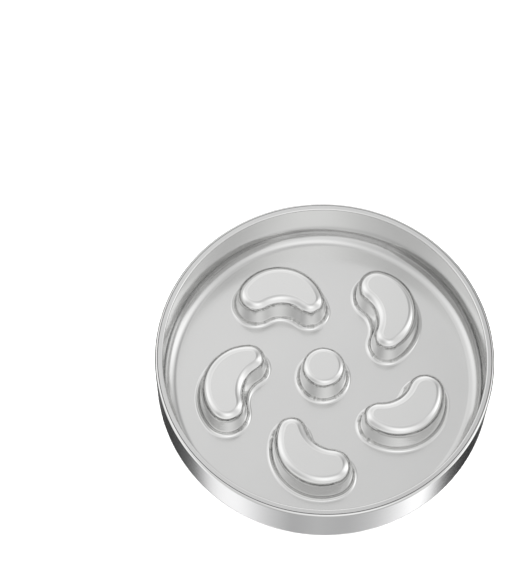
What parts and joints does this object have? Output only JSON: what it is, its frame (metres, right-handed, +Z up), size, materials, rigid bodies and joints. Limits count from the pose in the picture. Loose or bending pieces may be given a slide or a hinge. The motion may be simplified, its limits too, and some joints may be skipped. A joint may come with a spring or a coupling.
{
  "type": "slow feeder dog bowl",
  "caption": "Low, round, double-walled stainless steel slow feeder bowl with kidney-shaped obstacles round a central bump and a rubber ring under the base.",
  "frame": {"origin": "centre of the circle the bowl stands on, in the plane of the ring's raised pads", "axes": "+Z up, along the bowl's axis; +X to the right and +Y away from the viewer in the pictured view"},
  "size_m": [0.21, 0.21, 0.044],
  "materials": {
    "inner_steel": "polished, with a satin grain on the flat obstacle tops",
    "outer_steel": "brushed round the wall, fine concentric brush marks on the base",
    "ring_rubber": "matt moulded rubber"
  },
  "bodies": {
    "root": {"inner_bowl": "inner_steel", "outer_shell": "outer_steel", "non_slip_ring": "ring_rubber"}
  },
  "joints": []
}
